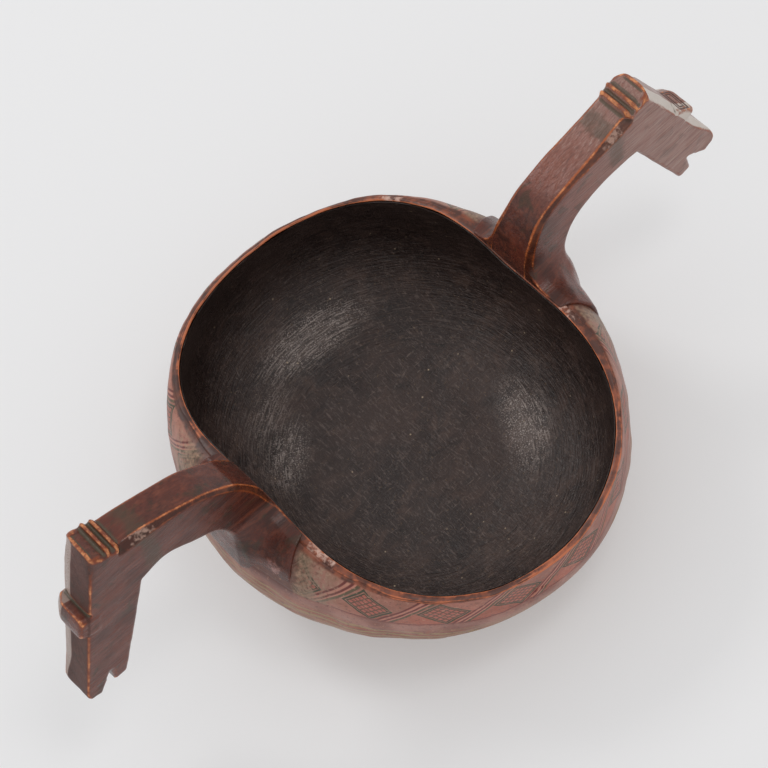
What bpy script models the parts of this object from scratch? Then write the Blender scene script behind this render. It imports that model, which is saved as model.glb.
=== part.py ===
"""Two-handled wooden ale bowl with horse-head handles, carved from one block of birch.

Frame: metres, +Z up, origin at the centre of the flat foot, X along the handles.
The carving is modelled as the parts a carver names: the bowl, its two handles, which
meet it at the carved shoulders beside each root, and the coat that lines the inside.
"""
import math

import bmesh
import bpy
from mathutils import Matrix

MM = 0.001
GAP = 0.3 * MM                  # clearance between neighbouring solids

# Inner edge of the rim: radius and height against the angle from the handle axis.
RIM_RADIUS = 84.2 * MM
RIM_OVAL = 14.2 * MM            # the mouth is wider across the handles than along them
RIM_SQUARE = 2.2 * MM
RIM_HEIGHT = 72.0 * MM
RIM_RISE = 8.7 * MM             # the rim rises towards the handles and dips between them
RIM_CREST = 0.8 * MM
LIP_SIDE = 2.6 * MM             # width of the lip between the handles
LIP_ROOT = 4.4 * MM             # width of the lip at the handle roots

# Belly, foot and hollow.
BELLY_RADIUS = 95.5 * MM
BELLY_OVAL = 4.9 * MM
BELLY_SQUARE = 0.9 * MM
BELLY_OFFSET = (-1.2 * MM, 1.8 * MM)    # the hand-cut belly sits a little off the mouth
BELLY_HEIGHT = 44.0 * MM
FOOT_DROP = 0.88                # how far down its ellipse the belly is cut by the foot
WALL = 5.0 * MM
FLOOR = 9.0 * MM
HOLLOW_HEIGHT = 48.0 * MM
HOLLOW_SQUARENESS = 0.75
HOLLOW_BULGE = 0.3              # share of the inside that lies above its widest point
COAT = 0.6 * MM
COAT_TOP = 0.8 * MM             # how far below the rim the coat stops

# Handles.
NECK_HALF_WIDTH = 8.8 * MM      # mean of the two hand-cut necks, used for the roots
ARRIS = 1.2 * MM
SHOULDER_ANGLE = math.radians(23.0)
SHOULDER = 2.0 * MM             # how far the root stands proud of the wall
ROOT_BOTTOM = 50.0 * MM
ROOT_FADE = 60.0 * MM           # below this height the root sinks into the belly
ROOT_FRONT = 89.0 * MM          # outer face of the root on the handle axis
ROOT_CREST = 12.0 * MM          # how high the root climbs the side of the neck
ROOT_CLIMB_START = 5.3 * MM     # distance from the middle of the neck where it drops
ROOT_CLIMB = 4.5 * MM           # distance over which that climb dies away
ROOT_PROUD = 0.9 * MM           # top of the root above the rim at the shoulder
ROOT_INSET = 0.8 * MM           # back of the root behind the rim's inner edge
ROOT_LEAN = 0.5                 # how far the back leans out, per unit of height
ROOT_SINK = 1.0 * MM            # how deep the bottom of the root lies in the belly
FILLET = 6.0 * MM
NOSEBAND_LENGTH = 11.5 * MM
NOSEBAND_WIDTH = 15.5 * MM
NOSEBAND_PROUD = 4.0 * MM
NOSEBAND_PLACE = 0.46           # share of the way down the face

SEGMENTS = 56
HOLLOW_STEPS = 14              # rows from the rim to the middle of the hollow

# Side-view landmarks of each head, (distance from the bowl's centre, height) in mm.
LEFT_HEAD = {
    "half_width": 8.4,
    "neck_crest": (95.0, 124.0), "neck_top": (115.0, 131.5), "step": (130.0, 134.3),
    "poll": (143.5, 142.2), "tip": (170.4, 58.5), "lip": (164.4, 55.2),
    "mouth": (160.0, 63.0), "lower_lip": (158.0, 55.2), "chin": (151.8, 56.2),
    "throat": (128.8, 104.5), "neck_under": (118.0, 106.6),
}
RIGHT_HEAD = {
    "half_width": 9.1,
    "neck_crest": (94.5, 119.4), "neck_top": (112.0, 123.8), "step": (129.0, 128.4),
    "poll": (142.2, 135.2), "tip": (170.4, 70.5), "lip": (164.9, 65.6),
    "mouth": (158.0, 70.8), "lower_lip": (157.4, 63.4), "chin": (150.8, 62.2),
    "throat": (131.2, 103.2), "neck_under": (117.0, 103.2),
}

HORSE_BROWN = (0.105, 0.055, 0.040, 1.0)
BAND_RED = (0.150, 0.062, 0.040, 1.0)
COAT_BLACK = (0.030, 0.023, 0.021, 1.0)


# ---------------------------------------------------------------- scene and materials

def clear_scene():
    for obj in list(bpy.data.objects):
        bpy.data.objects.remove(obj, do_unlink=True)


def new_collection(name):
    collection = bpy.data.collections.new(name)
    bpy.context.scene.collection.children.link(collection)
    return collection


def make_material(name, color, roughness):
    material = bpy.data.materials.new(name)
    material.use_nodes = True
    shader = material.node_tree.nodes["Principled BSDF"]
    shader.inputs["Base Color"].default_value = color
    shader.inputs["Roughness"].default_value = roughness
    shader.inputs["Metallic"].default_value = 0.0
    return material


# ---------------------------------------------------------------- bowl surfaces

def rim_radius(angle):
    return RIM_RADIUS - RIM_OVAL * math.cos(2 * angle) - RIM_SQUARE * math.cos(4 * angle)


def rim_height(angle):
    return RIM_HEIGHT + RIM_RISE * math.cos(2 * angle) - RIM_CREST * math.cos(4 * angle)


def lip_width(angle):
    towards_handle = math.cos(angle) ** 4
    return LIP_SIDE + (LIP_ROOT - LIP_SIDE) * towards_handle


def belly_radius(angle):
    oval = BELLY_RADIUS - BELLY_OVAL * math.cos(2 * angle) + BELLY_SQUARE * math.cos(4 * angle)
    return oval + BELLY_OFFSET[0] * math.cos(angle) + BELLY_OFFSET[1] * math.sin(angle)


def hollow_radius(angle):
    return (rim_radius(angle) + belly_radius(angle) - WALL) / 2


def wall_point(angle, turn, grow):
    """Outer wall from the lip (turn 0) to the belly (turn 1), as a quarter ellipse."""
    lip = rim_radius(angle) + lip_width(angle)
    reach = math.sin(turn * math.pi / 2)
    rise = math.cos(turn * math.pi / 2)
    radius = lip + (belly_radius(angle) - lip) * reach + grow
    height = BELLY_HEIGHT + (rim_height(angle) - BELLY_HEIGHT) * rise
    return radius, height


def under_point(angle, turn, grow):
    """Outer wall from the belly (turn 0) down to the edge of the foot (turn 1)."""
    slope = turn * math.asin(FOOT_DROP)
    radius = belly_radius(angle) * math.cos(slope) + grow
    height = BELLY_HEIGHT * (1 - math.sin(slope) / FOOT_DROP)
    return radius, height


def hollow_point(angle, turn, inset):
    """Inside from the rim's inner edge (turn 0) over the bulge to the floor (turn 1)."""
    if turn < HOLLOW_BULGE:
        share = math.sin(turn / HOLLOW_BULGE * math.pi / 2)
        drop = 1 - math.cos(turn / HOLLOW_BULGE * math.pi / 2)
        radius = rim_radius(angle) + (hollow_radius(angle) - rim_radius(angle)) * share
        height = rim_height(angle) - (rim_height(angle) - HOLLOW_HEIGHT) * drop
        return radius - inset, height
    slope = (turn - HOLLOW_BULGE) / (1 - HOLLOW_BULGE) * math.pi / 2
    radius = (hollow_radius(angle) - inset) * math.cos(slope) ** HOLLOW_SQUARENESS
    height = HOLLOW_HEIGHT - (HOLLOW_HEIGHT - FLOOR - inset) * math.sin(slope)
    return radius, height


def fractions(count, first=0, last=None):
    last = count if last is None else last
    return [step / count for step in range(first, last + 1)]


def loft_bowl(name, collection, segments, rows, bottom, inside):
    """A closed skin over rows of (angle -> radius, height) between two pole points."""
    mesh = bpy.data.meshes.new(name)
    bm = bmesh.new()
    angles = [2 * math.pi * step / segments for step in range(segments)]
    rings = []
    for row in rows:
        ring = []
        for angle in angles:
            radius, height = row(angle)
            ring.append(bm.verts.new((radius * math.cos(angle), radius * math.sin(angle), height)))
        rings.append(ring)
    for upper, lower in zip(rings, rings[1:]):
        for here in range(segments):
            there = (here + 1) % segments
            bm.faces.new((upper[here], lower[here], lower[there], upper[there]))
    for ring, height in ((rings[0], bottom), (rings[-1], inside)):
        pole = bm.verts.new((0.0, 0.0, height))
        for here in range(segments):
            bm.faces.new((pole, ring[here], ring[(here + 1) % segments]))
    bmesh.ops.recalc_face_normals(bm, faces=bm.faces)
    bm.to_mesh(mesh)
    bm.free()
    obj = bpy.data.objects.new(name, mesh)
    collection.objects.link(obj)
    return obj


def outer_rows(grow, upper_steps, lower_steps):
    """Rows of the outer wall from the edge of the foot up to the lip."""
    rows = [lambda a, t=t: under_point(a, t, grow) for t in reversed(fractions(lower_steps, 1))]
    rows += [lambda a, t=t: wall_point(a, t, grow) for t in reversed(fractions(upper_steps))]
    return rows


def make_bowl(collection):
    rows = outer_rows(0.0, 5, 7)
    last = HOLLOW_STEPS - 1
    rows += [lambda a, t=t: hollow_point(a, t, 0.0) for t in fractions(HOLLOW_STEPS, 0, last)]
    bowl = loft_bowl("bowl", collection, SEGMENTS, rows, 0.0, FLOOR)
    bowl.data.shade_smooth()
    bowl.data.set_sharp_from_angle(angle=math.radians(40))
    return bowl


def make_bowl_cutter(collection):
    """The bowl as one solid lump, grown by the gap, which shapes the handle roots."""
    lid = RIM_HEIGHT + GAP
    rows = outer_rows(GAP, 5, 7)
    rows.append(lambda a: (rim_radius(a) + lip_width(a) + GAP, rim_height(a) + GAP))
    rows.append(lambda a: (rim_radius(a) - GAP, rim_height(a) + GAP))
    return loft_bowl("bowl_cutter", collection, SEGMENTS, rows, -GAP, lid)


def make_interior_coat(collection):
    turns = fractions(HOLLOW_STEPS, 1, HOLLOW_STEPS - 1)
    outer = [lambda a, t=t: hollow_point(a, t, GAP) for t in reversed(turns)]
    inner = [lambda a, t=t: hollow_point(a, t, GAP + COAT) for t in turns]
    outer_edge = lambda a: (rim_radius(a) - GAP, rim_height(a) - COAT_TOP)
    inner_edge = lambda a: (rim_radius(a) - GAP - COAT, rim_height(a) - COAT_TOP)
    rows = outer + [outer_edge, inner_edge] + inner
    coat = loft_bowl("interior_coat", collection, SEGMENTS, rows,
                     FLOOR + GAP, FLOOR + GAP + COAT)
    coat.data.shade_smooth()
    coat.data.set_sharp_from_angle(angle=math.radians(40))
    return coat


# ---------------------------------------------------------------- handles

def smooth_run(points, steps):
    """Points along a Catmull-Rom curve through the given (x, z) points."""
    padded = [points[0]] + list(points) + [points[-1]]
    run = []
    for index in range(1, len(padded) - 2):
        before, start, end, after = padded[index - 1:index + 3]
        for step in range(steps):
            t = step / steps
            run.append(tuple(
                0.5 * (2 * b + (c - a) * t + (2 * a - 5 * b + 4 * c - d) * t ** 2
                       + (3 * b - a - 3 * c + d) * t ** 3)
                for a, b, c, d in zip(before, start, end, after)))
    run.append(points[-1])
    return run


def crest_profile(step, poll):
    """Two raised bars and the cap of the poll, as shares of the run from step to poll."""
    shares = [(0.00, 0.0), (0.04, 2.4), (0.17, 2.4), (0.22, 1.1), (0.28, 1.1), (0.33, 2.4),
              (0.46, 2.4), (0.52, 0.3), (0.58, 0.3), (0.64, 1.0), (0.94, 0.8), (1.00, 0.0)]
    return [(step[0] + (poll[0] - step[0]) * share,
             step[1] + (poll[1] - step[1]) * share + raised) for share, raised in shares]


def handle_outline(head):
    """Side view of a handle, going up the ridge, over the poll and back under the neck."""
    ridge = smooth_run([(68.4, 80.0), (72.4, 95.5), (81.0, 111.0), head["neck_crest"],
                        head["neck_top"], head["step"]], 4)
    crest = crest_profile(head["step"], head["poll"])
    tip, lip = head["tip"], head["lip"]
    muzzle = [(tip[0] - 0.9, tip[1] + 3.5), tip, (tip[0] - 1.6, tip[1] - 2.2), lip]
    under = smooth_run([head["throat"], head["neck_under"], (103.0, 99.2), (94.6, 93.0),
                        (90.0, 83.0), (88.6, 72.0), (89.5, 58.0)], 4)
    inside = [(84.0, 52.0), (74.0, 70.0)]
    jaw = [head["mouth"], head["lower_lip"], head["chin"]]
    return ridge + crest[1:] + muzzle + jaw + under + inside


def make_slab(name, collection, head):
    """The handle's side view extruded to its width, with its arrises taken off."""
    curve = bpy.data.curves.new(name, "CURVE")
    curve.dimensions = "2D"
    curve.fill_mode = "BOTH"
    curve.extrude = head["half_width"] * MM
    outline = handle_outline(head)
    spline = curve.splines.new("POLY")
    spline.points.add(len(outline) - 1)
    for point, (x, z) in zip(spline.points, outline):
        point.co = (x * MM, z * MM, 0.0, 1.0)
    spline.use_cyclic_u = True
    guide = bpy.data.objects.new(name + "_outline", curve)
    collection.objects.link(guide)
    guide.matrix_world = Matrix.Rotation(math.pi / 2, 4, "X")
    bpy.context.view_layer.update()
    evaluated = guide.evaluated_get(bpy.context.evaluated_depsgraph_get())
    mesh = bpy.data.meshes.new_from_object(evaluated)
    mesh.transform(guide.matrix_world)
    bpy.data.objects.remove(guide, do_unlink=True)
    bm = bmesh.new()
    bm.from_mesh(mesh)
    bmesh.ops.remove_doubles(bm, verts=bm.verts, dist=0.01 * MM)
    bmesh.ops.dissolve_limit(bm, angle_limit=math.radians(1), verts=bm.verts, edges=bm.edges)
    bmesh.ops.recalc_face_normals(bm, faces=bm.faces)
    bm.to_mesh(mesh)
    bm.free()
    obj = bpy.data.objects.new(name, mesh)
    collection.objects.link(obj)
    return obj


def root_front(across, height, wall):
    """Distance of the root's outer face: neck front, concave sweep, then the shoulder."""
    beyond = max(0.0, across - NECK_HALF_WIDTH)
    sweep = math.exp(-(beyond / FILLET) ** 1.3)
    fade = min(1.0, max(0.0, (height - ROOT_BOTTOM) / (ROOT_FADE - ROOT_BOTTOM)))
    proud = (SHOULDER + ROOT_SINK) * fade - ROOT_SINK
    return wall + proud + max(0.0, ROOT_FRONT - wall - proud) * sweep


def wall_radius_at(angle, height):
    """Outer radius of the bowl at a height between the belly and the lip."""
    share = (height - BELLY_HEIGHT) / (rim_height(angle) - BELLY_HEIGHT)
    turn = math.acos(min(1.0, max(0.0, share))) / (math.pi / 2)
    return wall_point(angle, turn, 0.0)[0]


def make_root(name, collection):
    """The flared root, a stack of plan-view slices that hug the wall between shoulders."""
    columns, levels = 16, 7
    mesh = bpy.data.meshes.new(name)
    bm = bmesh.new()
    rings = []
    for level in range(levels + 1):
        outer, inner = [], []
        for column in range(columns + 1):
            angle = SHOULDER_ANGLE * (2 * column / columns - 1)
            across = abs(rim_radius(angle) * math.sin(angle))
            climb = math.exp(-max(0.0, across - ROOT_CLIMB_START) / ROOT_CLIMB)
            top = rim_height(angle) + ROOT_PROUD + ROOT_CREST * climb
            height = ROOT_BOTTOM + (top - ROOT_BOTTOM) * level / levels
            front = root_front(across, height, wall_radius_at(angle, height))
            above_rim = max(0.0, height - rim_height(angle))
            back = rim_radius(angle) + ROOT_INSET + ROOT_LEAN * above_rim
            outer.append(bm.verts.new((front * math.cos(angle), front * math.sin(angle), height)))
            inner.append(bm.verts.new((back * math.cos(angle), back * math.sin(angle), height)))
        rings.append(outer + inner[::-1])
    count = len(rings[0])
    for lower, upper in zip(rings, rings[1:]):
        for here in range(count):
            there = (here + 1) % count
            bm.faces.new((lower[here], lower[there], upper[there], upper[here]))
    for ring in (rings[0], rings[-1]):
        for column in range(columns):
            bm.faces.new((ring[column], ring[column + 1],
                          ring[count - 2 - column], ring[count - 1 - column]))
    bmesh.ops.recalc_face_normals(bm, faces=bm.faces)
    bm.to_mesh(mesh)
    bm.free()
    obj = bpy.data.objects.new(name, mesh)
    collection.objects.link(obj)
    return obj


def make_noseband(name, collection, head):
    """The raised block across the front of the head, leaning with the face."""
    poll, tip = head["poll"], head["tip"]
    lean = math.atan2(tip[0] - poll[0], poll[1] - tip[1])
    x = (poll[0] + (tip[0] - poll[0]) * NOSEBAND_PLACE) * MM
    z = (poll[1] + (tip[1] - poll[1]) * NOSEBAND_PLACE) * MM
    depth = 3 * NOSEBAND_PROUD
    bpy.ops.mesh.primitive_cube_add(size=1.0)
    block = bpy.context.active_object
    block.name = name
    block.data.transform(Matrix.Diagonal((depth, NOSEBAND_WIDTH, NOSEBAND_LENGTH, 1.0)))
    block.data.transform(Matrix.Translation((NOSEBAND_PROUD - depth / 2, 0.0, 0.0)))
    block.data.transform(Matrix.Translation((x, 0.0, z)) @ Matrix.Rotation(-lean, 4, "Y"))
    for owner in list(block.users_collection):
        owner.objects.unlink(block)
    collection.objects.link(block)
    bevel = block.modifiers.new("worn_edges", "BEVEL")
    bevel.width = ARRIS
    bevel.segments = 1
    return block


def mirror_side(obj, side):
    """Turn a piece built for the +X side round to the other side of the bowl."""
    if side < 0:
        obj.data.transform(Matrix.Rotation(math.pi, 4, "Z"))


def add_boolean(obj, tool, operation):
    boolean = obj.modifiers.new(operation.lower() + "_" + tool.name, "BOOLEAN")
    boolean.operation = operation
    boolean.object = tool
    boolean.solver = "EXACT"


def make_handle(name, collection, cutters, head, side, bowl_cutter):
    handle = make_slab(name, collection, head)
    root = make_root(name + "_root", cutters)
    noseband = make_noseband(name + "_noseband", cutters, head)
    for piece in (handle, root, noseband):
        mirror_side(piece, side)
    bevel = handle.modifiers.new("worn_arrises", "BEVEL")
    bevel.width = ARRIS
    bevel.segments = 1
    bevel.limit_method = "ANGLE"
    bevel.angle_limit = math.radians(80)
    add_boolean(handle, root, "UNION")
    add_boolean(handle, noseband, "UNION")
    add_boolean(handle, bowl_cutter, "DIFFERENCE")
    return handle


def hide_cutters(cutters):
    for obj in cutters.objects:
        obj.hide_render = True
        obj.display_type = "WIRE"


def main():
    clear_scene()
    bowl_parts = new_collection("horse_head_ale_bowl")
    cutters = new_collection("cutters")
    bowl = make_bowl(bowl_parts)
    coat = make_interior_coat(bowl_parts)
    bowl_cutter = make_bowl_cutter(cutters)
    right = make_handle("right_handle", bowl_parts, cutters, RIGHT_HEAD, 1, bowl_cutter)
    left = make_handle("left_handle", bowl_parts, cutters, LEFT_HEAD, -1, bowl_cutter)
    hide_cutters(cutters)
    bowl.data.materials.append(make_material("painted_birch", BAND_RED, 0.45))
    coat.data.materials.append(make_material("black_coat", COAT_BLACK, 0.5))
    right.data.materials.append(make_material("right_handle_birch", HORSE_BROWN, 0.4))
    left.data.materials.append(make_material("left_handle_birch", HORSE_BROWN, 0.4))


main()
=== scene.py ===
"""A two-handled wooden ale bowl with horse-head handles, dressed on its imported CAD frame.

Lengths in the shape functions are millimetres; meshes are written in metres.
"""
import math
from functools import reduce
from itertools import product

import bpy
import numpy as np
from mathutils import Matrix, Vector


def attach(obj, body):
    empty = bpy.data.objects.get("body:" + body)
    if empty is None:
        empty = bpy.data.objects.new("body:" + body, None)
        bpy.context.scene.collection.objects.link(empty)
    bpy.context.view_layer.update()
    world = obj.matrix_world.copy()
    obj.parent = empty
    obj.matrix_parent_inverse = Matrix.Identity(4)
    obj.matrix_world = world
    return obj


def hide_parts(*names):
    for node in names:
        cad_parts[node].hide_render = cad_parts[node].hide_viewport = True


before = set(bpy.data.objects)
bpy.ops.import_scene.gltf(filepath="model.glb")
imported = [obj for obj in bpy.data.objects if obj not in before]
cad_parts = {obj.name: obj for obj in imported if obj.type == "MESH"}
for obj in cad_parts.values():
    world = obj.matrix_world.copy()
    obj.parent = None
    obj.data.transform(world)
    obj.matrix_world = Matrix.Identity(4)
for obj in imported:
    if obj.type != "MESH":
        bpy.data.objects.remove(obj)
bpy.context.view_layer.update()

MM = 0.001
DEG = math.pi / 180

# ---------------------------------------------------------------- sizes in mm

# The bowl has the CAD's sizes, but for a lip up to 1 thinner, a near side up to 1.4 slimmer and
# a squarer hollow.
RIM_RADIUS, RIM_OVAL, RIM_SQUARE = 84.2, 14.2, 2.2
RIM_HEIGHT, RIM_RISE, RIM_CREST = 72.0, 8.7, 0.8
LIP_SIDE, LIP_ROOT, LIP_SHIFT = 2.1, 4.2, 0.5
BELLY_RADIUS, BELLY_OVAL, BELLY_SQUARE = 95.5, 4.9, 0.9
BELLY_OFFSET = (-1.2, 1.8)
BELLY_FLAT, BELLY_FLAT_TURN, BELLY_FLAT_SPREAD = 1.4, 98 * DEG, 17 * DEG
BELLY_HEIGHT, FOOT_DROP = 44.0, 0.88
WALL, FLOOR = 5.0, 9.0
HOLLOW_HEIGHT, HOLLOW_SQUARENESS, HOLLOW_BULGE = 48.0, 0.52, 0.3
LIP_ARRIS = 0.7                 # radius of the rubbed edges of the lip
BOWL_STEPS, COAT_STEPS = 720, 640           # points in each ring of the bowl and the coat

BAND_DEPTH = 18.0               # painted band, below the rim
DIAMOND_STEP = 18.0             # degrees from one painted diamond to the next
DIAMOND_WIDE = 0.35             # half a diamond's width, as a share of that step
DIAMOND_MIDDLE = 0.47           # its middle, as a share of the band's depth, from below

# Painted highlights on the black coat, where the lamps reflect in the hollow's curve: distance
# from the middle, direction in degrees, length around the bowl, width and strength.
PAINTED_COAT_HIGHLIGHTS = ((72.0, 86.0, 26.0, 9.0, 1.3), (66.0, 118.0, 22.0, 9.0, 0.6),
          (54.0, 134.0, 18.0, 9.0, 1.0), (48.4, -29.0, 22.0, 10.0, 1.1),
          (62.0, -8.0, 18.0, 8.0, 0.3))

SHOULDER_ANGLE = 20.5 * DEG     # from the middle of a handle to its carved shoulders
SHOULDER = 1.7                  # thickness of the root over the wall
ROOT_SKIN = 1.1                 # and its thickness where it falls away beside the rim
ROOT_BOTTOM, ROOT_FADE = 50.0, 74.0
ROOT_PROUD = 0.9
ROOT_TOP = 3.0                  # width of the flat beside the rim
ROOT_FILLET = 11.0
ROOT_END = 124.0                # the root and its fillet reach this far out and up
VOXEL = 0.475                   # grid step of the carved handles
GRID_X, GRID_Y, GRID_Z = (64.0, 177.0), (-41.0, 41.01), (46.0, 148.0)
PANEL_MIDDLE, PANEL_HALF = 0.73, 0.165      # sunk panel, as shares of the way over the poll
PANEL_BORDER = 1.9
NOSEBAND_HALF, NOSEBAND_BACK = 5.8, 6.0     # half its height, and how deep it sits in the face
GROOVE_PLACE = 6.7              # of the groove, above the noseband's middle
FRAME_PLACE, FRAME_HALF = (-0.6, 1.6), (2.5, 5.4)       # outer rectangle cut in the noseband
FRAME_GAP = 1.3                 # from that rectangle to the inner one
CUT_WIDTH, CUT_DEPTH = 0.42, 0.6

# The heads. Points are (x, z) in the side view. A pair of arris sizes is how far its flat reaches
# over the face and over the side, first for the near edge and then for the far one. band_profile
# is how proud the noseband stands. One share is painted light: how far the wood is painted paler
# and greyer towards the head, most on the right head, which is lit more.
LEFT_HEAD = {
    "half_width": 8.4, "far_extra": 1.4, "poll_round": 2.6, "side": -1,
    "neck_crest": (95.0, 124.0), "neck_top": (115.0, 131.5), "step": (130.0, 134.3),
    "poll": (143.5, 142.2), "tip": (171.4, 56.6), "lip": (164.9, 52.8),
    "mouth": (157.6, 62.8), "lower_lip": (158.4, 53.4), "chin": (151.6, 54.4),
    "throat": (128.8, 104.5), "neck_under": (118.0, 106.6),
    "face_arris": ((0.8, 0.7), (5.0, 1.5)), "band_arris": ((1.6, 1.2), (4.6, 3.0)),
    "dry": 0.12, "band_place": 0.46, "groove": 0.95, "skew": 3.2,
    "band_profile": ((-6.0, -3.0, 0.0, 3.0, 6.0), (3.9, 4.5, 4.7, 4.5, 3.9)),
}
RIGHT_HEAD = {
    "half_width": 9.1, "far_extra": 0.0, "poll_round": 5.0, "side": 1,
    "neck_crest": (94.5, 119.4), "neck_top": (112.0, 123.8), "step": (129.0, 128.4),
    "poll": (142.2, 135.2), "tip": (172.4, 67.9), "lip": (166.0, 63.6),
    "mouth": (156.6, 69.8), "lower_lip": (157.8, 61.4), "chin": (150.8, 60.6),
    "throat": (131.2, 103.2), "neck_under": (117.0, 103.2),
    "face_arris": ((4.8, 2.8), (1.2, 1.2)), "band_arris": ((1.8, 1.4), (5.5, 2.6)),
    "dry": 1.0, "band_place": 0.50, "groove": 0.3, "skew": 0.6,
    "band_profile": ((-6.0, 3.2, 4.4, 6.0), (-0.2, 4.3, 4.4, 3.9)),
}


# ---------------------------------------------------------------- small helpers

def unevenness(points, seed, wavelength):
    """Smooth hand-cut unevenness of about unit size at an array of points in mm."""
    waves = 14
    rng = np.random.default_rng(seed)
    total = np.zeros(points.shape[:-1])
    for _ in range(waves):
        direction = rng.normal(size=3)
        direction /= np.linalg.norm(direction)
        stretch = 2 * math.pi / (wavelength * rng.uniform(0.7, 1.5))
        total += np.sin(points @ direction * stretch + rng.uniform(0, 2 * math.pi))
    return total / math.sqrt(waves / 2)


def smooth_max(a, b, k):
    """The larger of a and b, with the corner between them rounded over k."""
    mix = np.maximum(k - np.abs(a - b), 0.0) / k
    return np.maximum(a, b) + mix * mix * k * 0.25


def smooth_min(a, b, k):
    return -smooth_max(-a, -b, k)


def ease(value, low, high):
    """0 below low, 1 above high, smooth between."""
    t = np.clip((value - low) / (high - low), 0.0, 1.0)
    return t * t * (3 - 2 * t)


def add_attribute(obj, key, values):
    layer = obj.data.attributes.new(key, "FLOAT", "POINT")
    layer.data.foreach_set("value", np.asarray(values, np.float32))


def mesh_object(name, points, quads, triangles=(), attributes=None):
    """A mesh from points in mm, with float attributes on its vertices."""
    mesh = bpy.data.meshes.new(name)
    points = np.asarray(points, float) * MM
    quads = np.asarray(quads, int).reshape(-1, 4)
    triangles = np.asarray(triangles, int).reshape(-1, 3)
    corners = np.concatenate([quads.ravel(), triangles.ravel()])
    starts = np.concatenate([np.arange(len(quads)) * 4,
                             len(quads) * 4 + np.arange(len(triangles)) * 3])
    mesh.vertices.add(len(points))
    mesh.vertices.foreach_set("co", points.ravel())
    mesh.loops.add(len(corners))
    mesh.loops.foreach_set("vertex_index", corners)
    mesh.polygons.add(len(starts))
    mesh.polygons.foreach_set("loop_start", starts)
    mesh.update(calc_edges=True)
    mesh.validate()
    mesh.shade_smooth()
    obj = bpy.data.objects.new(name, mesh)
    bpy.context.scene.collection.objects.link(obj)
    for key, values in (attributes or {}).items():
        add_attribute(obj, key, values)
    return obj


def bend_of_surface(obj, rounds):
    """How sharply the surface bends at each vertex, per mm: ridges above 0, grooves below."""
    mesh = obj.data
    count = len(mesh.vertices)
    places = np.zeros(count * 3, np.float32)
    normals = np.zeros(count * 3, np.float32)
    mesh.vertices.foreach_get("co", places)
    mesh.vertex_normals.foreach_get("vector", normals)
    places, normals = places.reshape(-1, 3) / MM, normals.reshape(-1, 3)
    edges = np.zeros(len(mesh.edges) * 2, np.int32)
    mesh.edges.foreach_get("vertices", edges)
    a, b = edges.reshape(-1, 2).T
    along = places[b] - places[a]
    bend = ((normals[b] - normals[a]) * along).sum(1) / np.maximum((along ** 2).sum(1), 1e-6)
    uses = np.bincount(a, minlength=count) + np.bincount(b, minlength=count)
    total = np.bincount(a, bend, count) + np.bincount(b, bend, count)
    value = total / np.maximum(uses, 1)
    for _ in range(rounds):
        total = np.bincount(a, value[b], count) + np.bincount(b, value[a], count)
        value = 0.4 * value + 0.6 * total / np.maximum(uses, 1)
    return value


# ---------------------------------------------------------------- bowl surfaces

def rim_radius(a):
    return RIM_RADIUS - RIM_OVAL * np.cos(2 * a) - RIM_SQUARE * np.cos(4 * a)


def rim_height(a):
    return RIM_HEIGHT + RIM_RISE * np.cos(2 * a) - RIM_CREST * np.cos(4 * a)


def lip_radius(a):
    side = LIP_SIDE - LIP_SHIFT * np.sin(a)
    return rim_radius(a) + side + (LIP_ROOT - side) * np.cos(a) ** 4


def belly_radius(a):
    oval = BELLY_RADIUS - BELLY_OVAL * np.cos(2 * a) + BELLY_SQUARE * np.cos(4 * a)
    lean = np.angle(np.exp(1j * (a + BELLY_FLAT_TURN)))
    oval = oval - BELLY_FLAT * np.exp(-(lean / BELLY_FLAT_SPREAD) ** 2)
    return oval + BELLY_OFFSET[0] * np.cos(a) + BELLY_OFFSET[1] * np.sin(a)


def hollow_radius(a):
    return (rim_radius(a) + belly_radius(a) - WALL) / 2


def wall_point(a, turn, top_cut):
    """Radius and height on the outer wall: turn is 0 at the lip, 1 at the belly's widest line."""
    reach, rise = math.sin(turn * math.pi / 2), math.cos(turn * math.pi / 2)
    radius = lip_radius(a) + (belly_radius(a) - lip_radius(a)) * reach
    height = BELLY_HEIGHT + (rim_height(a) - top_cut - BELLY_HEIGHT) * rise
    return radius, height


def under_point(a, turn):
    """The same below that line: turn is 1 at the edge of the foot."""
    slope = turn * math.asin(FOOT_DROP)
    radius = belly_radius(a) * math.cos(slope)
    return radius, BELLY_HEIGHT * (1 - math.sin(slope) / FOOT_DROP) + 0 * a


def hollow_point(a, turn, inset, top_cut):
    """The same inside: turn is 0 at the rim, 1 in the middle of the floor."""
    rim, high = rim_radius(a), rim_height(a) - top_cut
    if turn < HOLLOW_BULGE:
        share = math.sin(turn / HOLLOW_BULGE * math.pi / 2)
        drop = 1 - math.cos(turn / HOLLOW_BULGE * math.pi / 2)
        return rim + (hollow_radius(a) - rim) * share - inset, high - (high - HOLLOW_HEIGHT) * drop
    slope = (turn - HOLLOW_BULGE) / (1 - HOLLOW_BULGE) * math.pi / 2
    radius = (hollow_radius(a) - inset) * math.cos(slope) ** HOLLOW_SQUARENESS
    return radius, HOLLOW_HEIGHT - (HOLLOW_HEIGHT - FLOOR - inset) * math.sin(slope) + 0 * a


def loft(rows, bottom, top):
    """Points, quads and triangles of a closed skin over rings, with a pole at each end."""
    around = len(rows[0])
    points = np.concatenate([np.stack(rows).reshape(-1, 3), [[0, 0, bottom], [0, 0, top]]])
    here = np.arange(around)
    there = (here + 1) % around
    quads = []
    for row in range(len(rows) - 1):
        low, high = row * around, (row + 1) * around
        quads.append(np.stack([low + here, low + there, high + there, high + here], 1))
    poles = len(rows) * around
    last = (len(rows) - 1) * around
    fans = [np.stack([poles + 0 * here, there, here], 1),
            np.stack([poles + 1 + 0 * here, last + here, last + there], 1)]
    return points, np.concatenate(quads), np.concatenate(fans)


def ring_angles(steps):
    return np.arange(steps) / steps * 2 * math.pi


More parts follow.
